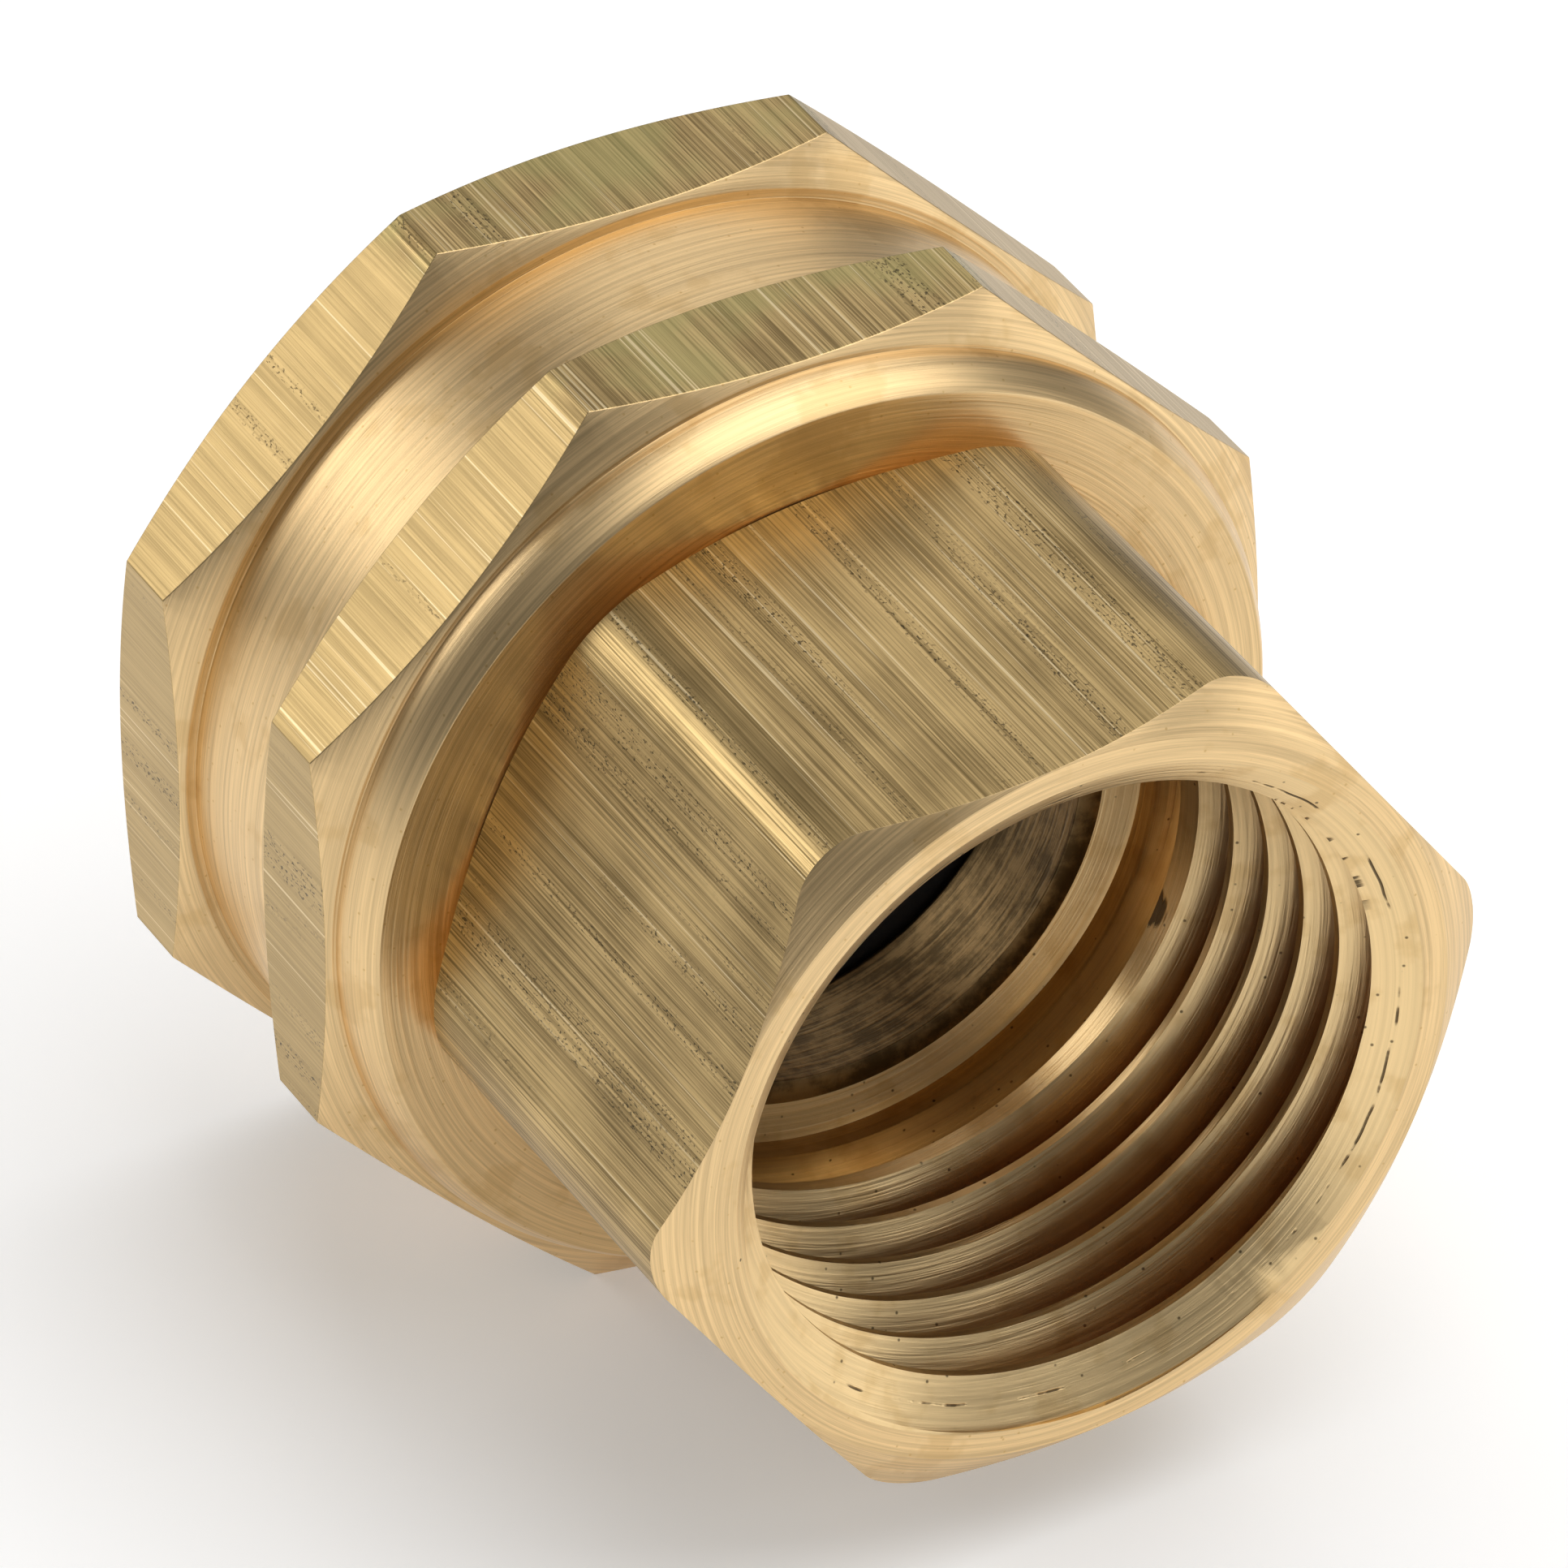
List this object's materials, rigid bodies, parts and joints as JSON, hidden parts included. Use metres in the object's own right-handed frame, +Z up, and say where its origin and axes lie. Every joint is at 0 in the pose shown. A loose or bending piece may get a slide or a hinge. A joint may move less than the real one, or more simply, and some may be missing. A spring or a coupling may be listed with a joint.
{
  "type": "pipe union",
  "caption": "Straight swivel pipe union: a hexagonal body with a female pipe thread, a flanged tail tube, a free-turning octagonal nut with a female pipe thread, and a flat washer inside.",
  "frame": {"origin": "on the common axis, where the body's thread begins inside its mouth; the union lies on one flat of the nut", "axes": "-Y out of the hexagonal body's mouth, +Y out of the swivel nut's mouth, +Z up through the middle of the nut's top flat, +X to the right seen from the body's mouth"},
  "size_m": [0.0286, 0.0269, 0.0286],
  "materials": {
    "body_brass": "drawn hexagonal bar with fine lengthwise streaks, turned faces and cut thread",
    "nut_brass": "drawn octagonal bar with fine lengthwise streaks, turned flanges and groove",
    "tube_brass": "dull drawn tube",
    "washer_rubber": "matt black moulded rubber"
  },
  "bodies": {
    "fitting_body": {"hex_body": "body_brass", "tail_tube": "tube_brass"},
    "washer": {"washer": "washer_rubber"},
    "nut": {"swivel_nut": "nut_brass"}
  },
  "joints": [
    {"name": "nut_play", "type": "slide", "parent": "fitting_body", "child": "washer", "axis": [0, 1, 0], "range_m": [0, 0.0004]},
    {"name": "nut_swivel", "type": "hinge", "parent": "washer", "child": "nut", "pos_m": [0, 0.0165, 0], "axis": [0, 1, 0], "continuous": true}
  ]
}
